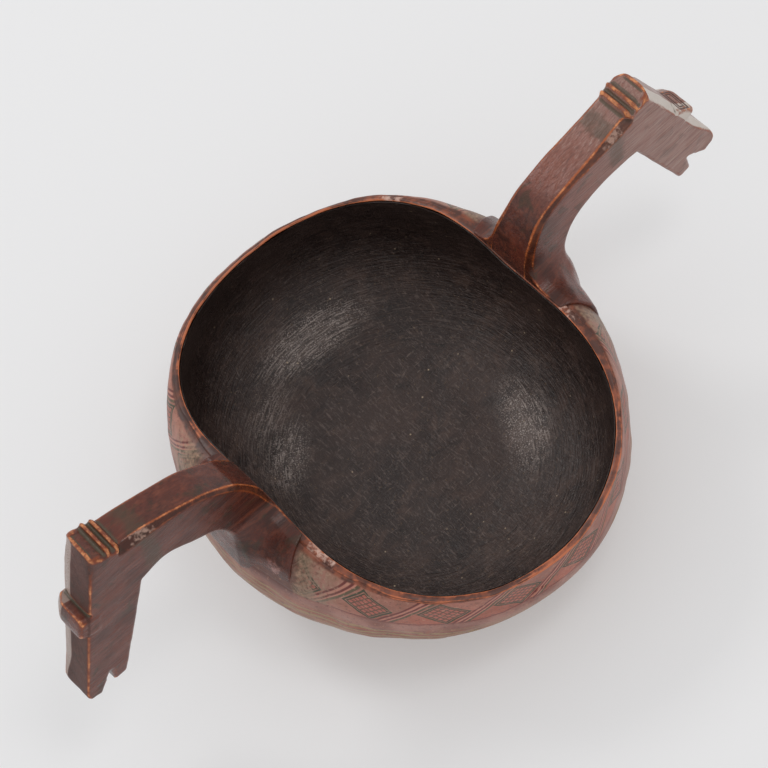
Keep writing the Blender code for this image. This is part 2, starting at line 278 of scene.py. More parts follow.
def ring(a, point):
    radius, height = point
    return np.stack([radius * np.cos(a), radius * np.sin(a), height + 0 * a], -1)


def lip_rings(a):
    """The lip from its worn outer arris over the top to its inner arris."""
    outer, inner, top = lip_radius(a), rim_radius(a), rim_height(a)
    rings = []
    for step in range(1, 6):
        turn = step / 5 * math.pi / 2
        rings.append(ring(a, (outer - LIP_ARRIS * (1 - math.cos(turn)),
                              top - LIP_ARRIS * (1 - math.sin(turn)))))
    for share in (0.33, 0.66):
        middle = outer - LIP_ARRIS + (inner + 0.5 - outer + LIP_ARRIS) * share
        rings.append(ring(a, (middle, top + 0.12)))
    for step in range(0, 4):
        turn = step / 3 * math.pi / 2
        rings.append(ring(a, (inner + 0.5 - 0.5 * math.sin(turn), top - 0.5 + 0.5 * math.cos(turn))))
    return rings


def make_bowl():
    a = ring_angles(BOWL_STEPS)
    foot = ring(a, under_point(a, 1.0))
    rows = [foot * [s, s, 1] + [0, 0, z] for s, z in
            ((0.2, 1.2), (0.5, 1.2), (0.85, 1.1), (0.93, 0.5), (0.975, 0.1))]
    rows += [ring(a, under_point(a, t)) for t in np.linspace(1.0, 0.0, 46)[:-1]]
    rows += [ring(a, wall_point(a, t, LIP_ARRIS)) for t in np.linspace(1.0, 0.0, 56)]
    rows += lip_rings(a)
    rows += [ring(a, hollow_point(a, t, -0.9, 0.7)) for t in np.linspace(0.05, 0.94, 16)]
    points, quads, fans = loft(rows, 1.2, FLOOR)
    angle = np.arctan2(points[:, 1], points[:, 0])
    radius = np.hypot(points[:, 0], points[:, 1])
    drop = rim_height(angle) - points[:, 2]
    outward = np.stack([points[:, 0], points[:, 1], 0 * angle], -1) / np.maximum(radius, 1)[:, None]
    carved = 0.16 * unevenness(points, 3, 24) + 0.06 * unevenness(points, 4, 7)
    outside = radius > lip_radius(angle) - 0.6
    settle = ease(points[:, 2], 1.0, 12.0) * outside
    points = points + outward * (carved * settle)[:, None]
    points[:, 2] += 0.18 * unevenness(points, 5, 16) * ease(-drop, -3.0, -0.2)
    bowl = mesh_object("bowl_body", points, quads, fans,
                       {"turn": np.degrees(angle) % 360, "drop": drop})
    bend = bend_of_surface(bowl, 1)
    lip = ease(-drop, -4.0, -1.0)
    inward = ease(lip_radius(angle) - radius, 0.5, 1.0)
    rub = np.maximum(0.30 + 0.70 * ease(-np.sin(angle), 0.3, 0.9), inward)
    add_attribute(bowl, "edge", np.clip(bend * 1.2, 0, 1) * lip * rub)
    return bowl


def make_coat():
    a = ring_angles(COAT_STEPS)
    back_rows = 14                  # against the wood
    turns = np.concatenate([np.linspace(0.0, HOLLOW_BULGE, 26)[:-1],
                            np.linspace(HOLLOW_BULGE, 0.985, 84)])
    rows = [ring(a, hollow_point(a, t, 0.12, 0.75)) for t in np.linspace(0.96, 0.02, back_rows)]
    rows += [ring(a, hollow_point(a, t, 0.45, 0.55)) for t in turns]
    points, quads, fans = loft(rows, FLOOR + 0.12, FLOOR + 0.45)
    hidden = back_rows * len(a)
    inner = points[hidden:]
    tool = 0.16 * unevenness(inner, 11, 26) + 0.05 * unevenness(inner, 12, 9)
    facets = np.abs(unevenness(inner * [1.0, 0.45, 1.0], 13, 12)) * 0.05
    away = inner - [0.0, 0.0, 75.0]
    away /= np.linalg.norm(away, axis=1)[:, None]
    carved = np.clip((tool + facets) * 0.7 + 0.12, 0.0, None)
    points[hidden:] = inner - away * carved[:, None]
    angle = np.arctan2(points[:, 1], points[:, 0])
    drop = rim_height(angle) - points[:, 2]
    radius = np.hypot(points[:, 0], points[:, 1])
    # painted highlights: the spots on the coat where the lamps' reflections are painted lighter
    painted_coat_highlight = 0 * drop
    for middle, turn, long, wide, strength in PAINTED_COAT_HIGHLIGHTS:
        swing = np.angle(np.exp(1j * (angle - turn * DEG))) * middle
        gap = (swing / long) ** 2 + ((radius - middle) / wide) ** 2
        painted_coat_highlight = np.maximum(painted_coat_highlight, strength * np.exp(-gap) * (points[:, 2] < HOLLOW_HEIGHT))
    reach = radius + points[:, 2]
    return mesh_object("bowl_coat", points, quads, fans,
                       {"painted_coat_highlight": painted_coat_highlight, "reach": reach,
                        "swing_x": np.cos(angle), "swing_y": np.sin(angle)})


# ---------------------------------------------------------------- handle outline

def smooth_run(points, steps):
    """Points along a Catmull-Rom curve through the given (x, z) points."""
    padded = [points[0]] + list(points) + [points[-1]]
    run = []
    for index in range(1, len(padded) - 2):
        before, start, end, after = (np.array(p) for p in padded[index - 1:index + 3])
        for step in range(steps):
            t = step / steps
            run.append(0.5 * (2 * start + (end - before) * t
                              + (2 * before - 5 * start + 4 * end - after) * t ** 2
                              + (3 * start - before - 3 * end + after) * t ** 3))
    run.append(np.array(points[-1]))
    return run


def handle_outline(head):
    """Side view, up the ridge, over the poll, down the face and back under the neck."""
    ridge = smooth_run([(67.6, 79.0), (71.0, 95.5), (79.6, 111.2), head["neck_crest"],
                        head["neck_top"], head["step"]], 10)
    step, poll = np.array(head["step"]), np.array(head["poll"])
    shares = [(0.02, 0.8), (0.05, 2.3), (0.10, 3.0), (0.16, 2.9), (0.21, 1.9), (0.25, 0.7),
              (0.29, 0.9), (0.33, 2.5), (0.38, 3.1), (0.44, 2.8), (0.49, 1.4), (0.54, 0.2),
              (0.62, 0.4), (0.80, 0.8), (0.97, 1.1), (1.01, 0.1)]
    crest = [step + (poll - step) * share + [0, raised] for share, raised in shares]
    tip, lip = np.array(head["tip"]), np.array(head["lip"])
    muzzle = [tip + [-1.5, 6.5], tip + [-0.5, 3.2], tip + [-0.3, 0.6], tip + [-1.6, -1.9], lip]
    under = smooth_run([head["throat"], head["neck_under"], (103.0, 99.2), (94.6, 93.0),
                        (90.0, 83.0), (88.6, 72.0), (89.5, 58.0)], 10)
    jaw = [np.array(head[key]) for key in ("mouth", "lower_lip", "chin")]
    inside = [np.array(p) for p in ((86.0, 52.0), (74.6, 68.0))]
    parts = [ridge, crest, muzzle, jaw, under, inside]
    return np.array([p for part in parts for p in part]), len(ridge), len(ridge) + len(crest)


def outline_distance(outline, x, z):
    """Signed distance to a closed outline over a grid, and the nearest side's number."""
    best = np.full(x.shape, 1e9)
    nearest = np.zeros(x.shape, int)
    inside = np.zeros(x.shape, bool)
    for number, (start, end) in enumerate(zip(outline, np.roll(outline, -1, 0))):
        dx, dz = end - start
        share = np.clip(((x - start[0]) * dx + (z - start[1]) * dz) / (dx * dx + dz * dz), 0, 1)
        gap = (x - start[0] - share * dx) ** 2 + (z - start[1] - share * dz) ** 2
        closer = gap < best
        best, nearest = np.where(closer, gap, best), np.where(closer, number, nearest)
        if dz != 0:
            crossing = (start[1] > z) != (end[1] > z)
            inside ^= crossing & (x < start[0] + (z - start[1]) * dx / dz)
    return np.where(inside, -1.0, 1.0) * np.sqrt(best), nearest


def soften(grid, rounds):
    """Rounds off a 2-D grid of distances."""
    for _ in range(rounds):
        padded = np.pad(grid, 1, mode="edge")
        grid = (padded[:-2, 1:-1] + padded[2:, 1:-1] + padded[1:-1, :-2] + padded[1:-1, 2:]
                + 4 * padded[1:-1, 1:-1]) / 8
    return grid


# ---------------------------------------------------------------- handle solid

def wall_distance(radius, z, lip, belly, high):
    """About how far a place is outside the bowl's elliptical outer wall."""
    wide, tall = belly - lip, high - BELLY_HEIGHT
    u = np.maximum(radius - lip, 0.0) / wide
    v = (z - BELLY_HEIGHT) / tall
    size = np.sqrt(u * u + v * v) + 1e-6
    return (size - 1) * size / np.sqrt((u / wide) ** 2 + (v / tall) ** 2 + 1e-9)


def root_solid(x, y, z):
    """The flared root that hugs the wall between the carved shoulders, as distances."""
    angle = np.arctan2(y, x)
    radius = np.hypot(x, y)
    rim, high, lip, belly = (f(angle) for f in (rim_radius, rim_height, lip_radius, belly_radius))
    beyond = wall_distance(radius, z, lip, belly, high)
    fade = ease(z, ROOT_BOTTOM, ROOT_FADE)
    front = beyond - (SHOULDER + 1.0) * fade + 1.0
    top = z - high - ROOT_PROUD
    top = smooth_max(top, top * 0.82 + (radius - rim - ROOT_TOP) * 0.57, 0.8)
    shape = smooth_max(front, top, 1.4)
    shape = smooth_min(shape, beyond - (ROOT_SKIN + 1.0) * fade + 1.0, 1.5)
    flank = (np.abs(angle) - SHOULDER_ANGLE) * radius
    shape = smooth_max(shape, flank, 0.8)
    shape = np.maximum(np.maximum(shape, ROOT_BOTTOM - z), z - high - ROOT_PROUD)
    lean = np.interp(z, (80.0, 88.0, 95.5, 111.0, 124.0), (0.0, 1.0, 2.8, 11.0, 25.0))
    inner = np.where(z < high - 1.3, lip - 0.6, rim + 0.35 + lean)
    deep = np.where(z < high - 1.3, -beyond - 1.6, -99.0)
    return shape, np.maximum(inner - radius, deep)


def chamfered(distance, across, half_width, face_leg, side_leg, rounding):
    """An outline pushed out to one side, its arris cut by a flat with those two legs."""
    side = across - half_width
    flat = (distance * face_leg + side * side_leg + face_leg * side_leg) \
        / np.hypot(face_leg, side_leg)
    return smooth_max(smooth_max(distance, side, rounding), flat, rounding)


def noseband_solid(head, x, y, z, near):
    """The raised block across the face, the groove above it, and places along and above it."""
    poll, tip = np.array(head["poll"]), np.array(head["tip"])
    down = (tip - poll) / np.linalg.norm(tip - poll)
    out = np.array([-down[1], down[0]])
    centre = poll + (tip - poll) * head["band_place"]
    along = (x - centre[0]) * down[0] + (z - centre[1]) * down[1]
    proud = (x - centre[0]) * out[0] + (z - centre[1]) * out[1]
    above = proud - np.interp(along, *head["band_profile"])
    end = np.abs(along) - NOSEBAND_HALF + 0.10 * np.maximum(proud, 0)
    block = np.maximum(smooth_max(end, above, 0.9), -proud - NOSEBAND_BACK)
    near_leg, far_leg = head["band_arris"]
    across = y * near
    half = head["half_width"] - 0.1
    block = chamfered(block, across, half, *near_leg, 0.6)
    far = chamfered(above, -across, half + head["far_extra"], *far_leg, 0.6)
    block = smooth_max(block, far, 0.6)
    groove = np.hypot(along + GROOVE_PLACE, proud + 0.1) - head["groove"]
    return block, groove, along, above


def cap_panel(head, x, y, z):
    """The shallow sunk panel on top of the poll, inside its worn border."""
    step, poll = np.array(head["step"]), np.array(head["poll"])
    run = np.linalg.norm(poll - step)
    ahead = (poll - step) / run
    along = (x - step[0]) * ahead[0] + (z - step[1]) * ahead[1]
    above = (z - step[1]) * ahead[0] - (x - step[0]) * ahead[1]
    ends = np.abs(along - PANEL_MIDDLE * run) - PANEL_HALF * run
    sides = np.abs(y) - head["half_width"] + PANEL_BORDER
    return np.maximum(np.maximum(ends, sides), 0.1 - above)


def incision(along, above, across):
    """Two nested rectangles cut into the noseband's slope: how deep the cut is."""
    beyond = np.maximum(np.abs(along - FRAME_PLACE[0]) - FRAME_HALF[0],
                        np.abs(across - FRAME_PLACE[1]) - FRAME_HALF[1])
    outer, inner = (np.exp(-((beyond + gap) / CUT_WIDTH) ** 2) for gap in (0.0, FRAME_GAP))
    return CUT_DEPTH * np.maximum(outer, inner) * (np.abs(above) < 1.2)


def outline_parts(nearest, ridge_end, crest_end):
    """Which part of the outline each place is nearest to."""
    return {"neck": nearest < ridge_end - 1,
            "crest": (nearest >= ridge_end - 1) & (nearest < crest_end - 1),
            "face": (nearest >= crest_end - 1) & (nearest < crest_end + 3),
            "under": nearest >= crest_end + 4}


def arris_legs(head, flat_x, flat_z, on):
    """How far the flat on each arris reaches over the face and over the side."""
    neck_leg = np.interp(flat_x, (70, 80, 98, 112, 126), (2.6, 2.0, 1.5, 2.3, 3.4))
    taper = 1 - 0.75 * ease(-flat_z, -head["tip"][1] - 22, -head["tip"][1] - 3)
    legs = {}
    for key, arris in zip(("near", "far"), head["face_arris"]):
        is_near = key == "near"
        for part, face_leg, crest_leg in zip(("face", "side"), arris, (2.4, 1.5)):
            leg = np.where(on["face"], face_leg * taper, 1.2)
            leg = np.where(on["neck"], neck_leg if is_near else 1.0, leg)
            leg = np.where(on["crest"], crest_leg if is_near else 1.2, leg)
            legs[key, part] = soften(np.where(on["under"], 1.3, leg), 6)
    return legs


def handle_field(head, xs, ys, zs, distance, legs, halves, rounded):
    """Signed distance to one handle over the whole grid."""
    x, y, z = xs[:, None, None], ys[None, :, None], zs[None, None, :]
    near = -head["side"]
    across = y * near
    slabs = []
    for key, sign, rounding in (("near", 1, 1.5), ("far", -1, head["poll_round"])):
        half, face, side = (grid[:, None, :] for grid in
                            (halves[key], legs[key, "face"], legs[key, "side"]))
        slabs.append(chamfered(distance[:, None, :], across * sign, half, face, side,
                               0.5 + rounding * rounded[:, None, :]))
    slab = smooth_max(*slabs, 0.5)
    slab = smooth_max(slab, -cap_panel(head, x, y, z), 0.35)
    block, groove, along, above = noseband_solid(head, x, y, z, near)
    slab = smooth_min(slab, block, 0.5)
    slab = smooth_max(slab, -groove, 0.4)
    if head["side"] > 0:
        slab = slab + incision(along, above, across)

    field = slab.astype(np.float32)
    box_x, box_z = int((xs < ROOT_END).sum()), int((zs < ROOT_END).sum())
    x, z = x[:box_x], z[:, :, :box_z]
    root, inner = root_solid(x, y, z)
    fillet = ROOT_FILLET * ease(ROOT_END - x, 0, 22)
    joined = smooth_min(field[:box_x, :, :box_z], root, np.maximum(fillet, 0.5))
    joined = smooth_max(joined, inner, 0.6)
    joined = np.maximum(joined, (np.abs(np.arctan2(y, x)) - SHOULDER_ANGLE) * x)
    field[:box_x, :, :box_z] = joined
    return field


def mark_handle(handle, head, local, distance, on, legs, halves):
    """Stores on the vertices what the wood's material has to know about each place."""
    near = -head["side"]
    x, y, z = local.T
    column = ((x - GRID_X[0]) / VOXEL).round().astype(int).clip(0, distance.shape[0] - 1)
    level = ((z - GRID_Z[0]) / VOXEL).round().astype(int).clip(0, distance.shape[1] - 1)
    here = (column, level)
    reach = distance[here]
    bend = bend_of_surface(handle, 3)
    swing = np.abs(np.arctan2(y, x))
    calm = 1 - 0.75 * ease(swing, 14 * DEG, 18 * DEG)
    poll_gap = np.hypot(x - head["poll"][0], z - head["poll"][1] - 0.5)
    brow = np.exp(-(poll_gap / 1.9) ** 2) * (bend > -0.1) * 0.75
    crested = 1 + 0.7 * on["crest"][here]
    # where a painted highlight lies on the root, beside the near shoulder
    painted_root_highlight = ((swing / DEG - 15.5) / 3.0) ** 2 + ((z - 68.5) / 4.5) ** 2
    _, _, along, above = noseband_solid(head, x, y, z, near)
    marks = {
        "edge": np.clip(np.maximum(bend * 2.3 * crested, brow), 0, 1) * calm,
        "groove": np.clip(-bend * 1.6 * crested, 0, 1),
        "by_step": np.exp(-((x - 121) / 6.5) ** 2) * (z > 108),
        # painted light: paler, greyer wood towards the head
        "dry": ease(x, 64, 142) * head["dry"],
        "incised": incision(along, above, y * near) * (head["side"] > 0),
        "painted_root_highlight": np.exp(-painted_root_highlight) * (y * near > 0),
        "front": ease(-np.abs(reach), -1.2, -0.4) * on["face"][here],
    }
    for key, sign, parts in (("near", near, ("neck", "face")), ("far", -near, ("face",))):
        flank = y * sign - halves[key][here]
        face, side = legs[key, "face"][here], legs[key, "side"][here]
        cut = (reach * face + flank * side + face * side) / np.hypot(face, side)
        proud = np.maximum(reach, flank)
        for part in parts:
            marks[key + "_" + part] = ease(cut - proud, -0.3, 0.0) * on[part][here]
        upper, lower = np.abs(cut - reach), np.abs(cut - flank)
        close = np.maximum(ease(-upper, -0.75, -0.15), 0.8 * ease(-lower, -0.55, -0.1))
        marks[key + "_line"] = close * on["neck"][here] * (proud > -2.2)
    for key, values in marks.items():
        add_attribute(handle, key, values)


def make_handle(name, head):
    side = head["side"]
    near = -side                # which way is the -Y side of the object, before turning
    xs, ys, zs = (np.arange(*ends, VOXEL) for ends in (GRID_X, GRID_Y, GRID_Z))
    origin = (xs[0], ys[0], zs[0])
    flat_x, flat_z = np.meshgrid(xs, zs, indexing="ij")
    outline, ridge_end, crest_end = handle_outline(head)
    distance, nearest = outline_distance(outline, flat_x, flat_z)
    distance = soften(distance, 2)
    on = outline_parts(nearest, ridge_end, crest_end)
    legs = arris_legs(head, flat_x, flat_z, on)
    half = head["half_width"] - 0.9 * ease(xs, 140, 172)[:, None]
    flare = ease(118 - flat_z, 0, 40) * (1 - ease(flat_x, 92, 112))
    halves = {"near": half - 0.5 * flare,
              "far": half + 6.4 * flare + head["far_extra"] * ease(flat_x, 112, 138)}
    poll_x, poll_z = head["poll"]
    rounded = np.maximum(on["face"] * ease(flat_z, poll_z - 16, poll_z - 2),
                         on["crest"] * ease(flat_x, poll_x - 5, poll_x))
    field = handle_field(head, xs, ys, zs, distance, legs, halves, soften(rounded, 8))

    points, quads = surface_nets(field, origin, VOXEL)
    rough = 0.07 * unevenness(points, 21 + side, 15) + 0.02 * unevenness(points, 31 + side, 5)
    normals = grid_normals(field, points, origin, VOXEL)
    points = points - normals * (0.12 + rough)[:, None] * 0.8
    local = points.copy()
    x, y, z = local.T
    far_share = ease(-y * near, -9, 9) * (x > 125)
    bulge = 1.8 * (1 - (y / 10) ** 2) * (x > 161)
    points[:, 2] -= (head["skew"] * far_share + bulge) * ease(-z, -92, -58)
    if side < 0:
        points = points * [-1, -1, 1]
    handle = mesh_object(name, points, quads)
    mark_handle(handle, head, local, distance, on, legs, halves)
    return handle


def grid_normals(field, points, origin, step):
    """Directions of steepest rise of the field at points, read from the nearest cells."""
    cell = np.clip(((points - origin) / step).round().astype(int), 1,
                   np.array(field.shape) - 2)
    i, j, k = cell.T
    slope = np.stack([field[i + 1, j, k] - field[i - 1, j, k],
                      field[i, j + 1, k] - field[i, j - 1, k],
                      field[i, j, k + 1] - field[i, j, k - 1]], -1)
    return slope / np.maximum(np.linalg.norm(slope, axis=1), 1e-6)[:, None]


def surface_nets(field, origin, step):
    """A closed quad mesh of the surface where the field is zero."""
    inside = field < 0
    count = np.zeros(tuple(n - 1 for n in field.shape), np.int8)
    for i, j, k in product((0, 1), repeat=3):
        count += inside[i:i + count.shape[0], j:j + count.shape[1], k:k + count.shape[2]]
    cells = np.argwhere((count > 0) & (count < 8))
    index = np.full(count.shape, -1, np.int64)
    index[tuple(cells.T)] = np.arange(len(cells))
    total, hits = np.zeros((len(cells), 3)), np.zeros(len(cells))
    for axis, *shift in product(range(3), (0, 1), (0, 1)):
        start = cells.copy()
        start[:, [n for n in range(3) if n != axis]] += shift
        end = start.copy()
        end[:, axis] += 1
        low, high = field[tuple(start.T)], field[tuple(end.T)]
        crossing = (low < 0) != (high < 0)
        place = start.astype(float)
        place[:, axis] += np.where(crossing, low / np.where(crossing, low - high, 1), 0)
        total += place * crossing[:, None]
        hits += crossing
    points = np.array(origin) + total / hits[:, None] * step
    quads = []
    for axis in range(3):
        b, c = (axis + 1) % 3, (axis + 2) % 3
        low = np.take(inside, range(field.shape[axis] - 1), axis)
        high = np.take(inside, range(1, field.shape[axis]), axis)
        edges = np.argwhere(low != high)
        edges = edges[(edges[:, b] > 0) & (edges[:, c] > 0)
                      & (edges[:, b] < field.shape[b] - 1) & (edges[:, c] < field.shape[c] - 1)]
        corners = []
        for back, side in ((1, 1), (0, 1), (0, 0), (1, 0)):
            cell = edges.copy()
            cell[:, b] -= back
            cell[:, c] -= side
            corners.append(index[tuple(cell.T)])
        quad = np.stack(corners, 1)
        leaving = inside[tuple(edges.T)]
        quads.append(np.where(leaving[:, None], quad, quad[:, ::-1]))
    return points, np.concatenate(quads)


# ---------------------------------------------------------------- shader building

def arithmetic(operation, swapped=False):
    def apply(wire, other):
        return wire.shop.math(operation, *((other, wire) if swapped else (wire, other)))
    return apply


class Wire:
    """A shader value that can be written as plain arithmetic."""

    def __init__(self, shop, socket):
        self.shop, self.socket = shop, socket

    def __abs__(self):
        return self.shop.math("ABSOLUTE", self)

    __add__ = __radd__ = arithmetic("ADD")
    __sub__, __rsub__ = arithmetic("SUBTRACT"), arithmetic("SUBTRACT", swapped=True)
    __mul__ = __rmul__ = arithmetic("MULTIPLY")
    __truediv__ = arithmetic("DIVIDE")


class Shop:
    """Builds one procedural material. Colours are sRGB triples from 0 to 255, or wires."""

    def __init__(self, name):
        self.material = bpy.data.materials.new(name)
        self.material.use_nodes = True
        self.tree = self.material.node_tree
        self.tree.nodes.clear()
        self.shader = self.node("BsdfPrincipled")
        self.tree.links.new(self.shader.outputs[0], self.node("OutputMaterial").inputs[0])
        self.place = Wire(self, self.node("TexCoord").outputs["Object"])

    def node(self, kind, **inputs):
        """A new node, its inputs set by name, with _ for a space."""
        node = self.tree.nodes.new("ShaderNode" + kind)
        for name, value in inputs.items():
            self.put(value, node.inputs[name.replace("_", " ")])
        return node

    def put(self, value, socket):
        if isinstance(value, Wire):
            self.tree.links.new(value.socket, socket)
        else:
            socket.default_value = value

    def math(self, operation, *values):
        node = self.node("Math")
        node.operation = operation
        for value, socket in zip(values, node.inputs):
            self.put(value, socket)
        return Wire(self, node.outputs[0])

    def least(self, *values):
        return reduce(lambda first, second: self.math("MINIMUM", first, second), values)

    def most(self, *values):
        return reduce(lambda first, second: self.math("MAXIMUM", first, second), values)

    def ramp(self, value, low, high):
        """0 at low, 1 at high, smooth between; low may be above high."""
        start, end = (0.0, 1.0) if low < high else (1.0, 0.0)
        node = self.node("MapRange", Value=value, From_Min=min(low, high),
                         From_Max=max(low, high), To_Min=start, To_Max=end)
        node.interpolation_type = "SMOOTHSTEP"
        return Wire(self, node.outputs["Result"])

    def attribute(self, name):
        node = self.node("Attribute")
        node.attribute_name = name
        return Wire(self, node.outputs["Fac"])

    def spot(self, scale=(1, 1, 1), turn=(0, 0, 0)):
        """Object coordinates in mm, stretched by scale after a turn."""
        node = self.node("Mapping", Vector=self.place, Scale=[s / MM for s in scale],
                         Rotation=turn)
        return Wire(self, node.outputs[0])

    def noise(self, size, detail, scale=(1, 1, 1), turn=(0, 0, 0), distort=0.0, rough=0.5):
        """Noise with features of about size mm; scale below 1 draws them out."""
        node = self.node("TexNoise", Vector=self.spot(scale, turn), Scale=1.0 / size,
                         Detail=detail, Roughness=rough, Distortion=distort)
        return Wire(self, node.outputs["Fac"])

    def swirl_noise(self, around, size, detail):
        """Noise drawn out around the bowl, with features of about size mm across."""
        place = self.node("CombineXYZ", X=self.attribute("swing_x") * around,
                          Y=self.attribute("swing_y") * around,
                          Z=self.attribute("reach") * (1.0 / size))
        node = self.node("TexNoise", Vector=Wire(self, place.outputs[0]), Scale=1.0,
                         Detail=detail, Distortion=0.5)
        return Wire(self, node.outputs["Fac"])

    def cells(self, size):
        """Distance to the nearest of many scattered points, about size mm apart."""
        node = self.node("TexVoronoi", Vector=self.spot(), Scale=1.0 / size)
        return Wire(self, node.outputs["Distance"])

    def mix(self, factor, *colours):
        node = self.node("Mix")
        node.data_type = "RGBA"
        self.put(factor, node.inputs[0])
        for colour, socket in zip(colours, node.inputs[6:8]):
            self.put(colour if isinstance(colour, Wire) else (*linear(colour), 1.0), socket)
        return Wire(self, node.outputs[2])

    def layers(self, colour, *coats):
        """The colour under coats of (factor, red, green, blue) or (factor, colour)."""
        for factor, *paint in coats:
            colour = self.mix(factor, colour, paint if len(paint) == 3 else paint[0])
        return colour

    def relief(self, *layers):
        """Bump from layers of (height, how many mm one unit of it is)."""
        normal = None
        for height, distance in layers:
            node = self.node("Bump", Distance=distance * MM, Height=height)
            if normal:
                self.put(normal, node.inputs["Normal"])
            normal = Wire(self, node.outputs[0])
        return normal

    def finish(self, colour, roughness, normal, specular):
        for name, value in (("Base Color", colour), ("Roughness", roughness),
                            ("Normal", normal), ("Specular IOR Level", specular)):
            self.put(value, self.shader.inputs[name])
        return self.material


def linear(colour):
    """Linear values of an sRGB colour."""
    return tuple((v / 255 / 12.92) if v <= 10 else ((v / 255 + 0.055) / 1.055) ** 2.4
                 for v in colour)


# ---------------------------------------------------------------- materials

def handle_wood():
    s = Shop("handle_waxed_birch")
    edge, groove, flat = s.attribute("edge"), s.attribute("groove"), s.attribute("near_neck")
    # painted light: the wood painted paler and greyer towards the head, most on the right one
    dry, by_step = s.attribute("dry"), s.attribute("by_step")
    facet = s.most(s.attribute("near_face") * dry, s.attribute("far_face"))
    line = s.most(s.attribute("near_line"), s.attribute("far_line") * 0.8)
    grain = s.noise(2.2, 5.0, (0.07, 1, 1), distort=0.3, rough=0.6)
    fine = s.noise(0.7, 3.0, (0.05, 1, 1), rough=0.65)
    patch = s.noise(7.0, 2.0, distort=0.6)
    cloud, mottle, speck = s.noise(13.0, 3.0), s.noise(3.4, 3.0, rough=0.6), s.noise(1.6, 3.0)
    clouds, mottles, specks = cloud - 0.5, mottle - 0.5, speck - 0.5
    # painted shade on the front of the face
    painted_front_shade = s.attribute("front") * (1.0 - dry) * (1.0 - s.attribute("far_face"))
    stain = s.ramp(by_step + mottles * 0.9, 0.5, 1.0)
    pale = s.ramp(facet + specks * 0.4 + clouds * 0.6, 0.40, 0.85)
    pale_wood = s.mix(dry, (150, 126, 116), (206, 196, 186))
    # painted shade in the creases and grooves
    painted_groove_shade = s.ramp(groove + specks * 0.3, 0.10, 0.45)
    rub = s.ramp(flat + clouds * 2.6 + mottles * 1.2, 0.85, 1.9)
    # painted highlight on the flat along the neck, beside the step
    painted_step_highlight = s.ramp(flat * by_step + specks * 2.0 + mottles * 1.2, 0.55, 1.15)
    # painted highlight on the root, beside the near shoulder
    painted_root_highlight = s.ramp(s.attribute("painted_root_highlight") + specks * 1.4 + mottles * 1.6, 0.45, 1.15)
    streak = s.ramp(line + clouds * 1.4 + specks * 0.5, 0.55, 1.10)
    worn = s.ramp(edge + specks * 0.5 + mottles * 0.9, 0.40, 0.95)
    bright = s.ramp(s.most(edge, line * 0.95) + specks * 0.6 + mottles * 1.1, 0.85, 1.25)
    incised = s.ramp(s.attribute("incised"), 0.10, 0.35)
    colour = s.layers(
        s.mix(s.ramp(cloud, 0.35, 0.68), (90, 42, 31), (60, 32, 26)),
        # painted light: the wood paler and greyer towards the right head, which is lit more
        (s.ramp(dry, 0.0, 0.4) * 0.5, 156, 94, 80),
        (dry * dry * 0.68, 158, 126, 116),
        # grain, then cloudy and greenish stains, and painted shade on the front of the face
        (s.ramp(grain, 0.42, 0.72) * 0.5, 126, 68, 48),
        (s.ramp(fine, 0.45, 0.75) * (0.55 - dry * 0.15), 38, 20, 16),
        (s.ramp(fine, 0.48, 0.30) * dry * 0.6, 162, 142, 130),
        (s.ramp(patch, 0.56, 0.70) * (1 - dry * 0.6) * 0.6, 52, 46, 33),
        (painted_front_shade * 0.6, 56, 33, 26),
        (stain * 0.55, 72, 64, 50),
        # the flats cut on the face, painted shade in the grooves, the polished flat along the neck
        # with a painted highlight beside the step, and a painted highlight on the root
        (pale * 0.85, pale_wood),
        (painted_groove_shade * 0.75, 78, 72, 56),
        (s.ramp(flat, 0.3, 0.8) * 0.75, 58, 27, 16),
        (rub * 0.45, 158, 84, 46),
        (painted_step_highlight * 0.6, 196, 160, 144),
        (painted_root_highlight * 0.6, 182, 132, 124),
        # arrises worn to orange and then to bright wood
        (streak * 0.85, 172, 90, 46),
        (worn * 0.8, 136, 64, 32),
        (bright * 0.85, 226, 150, 98),
        (incised * 0.85, 74, 36, 28))
    roughness = 0.27 + clouds * 0.2 + (fine - 0.5) * 0.2 + dry * 0.08 + painted_front_shade * 0.35
    bump = s.relief((grain, 0.12), (fine, 0.10), (mottle, 0.07), (speck, 0.08))
    return s.finish(colour, roughness, bump, specular=0.36)


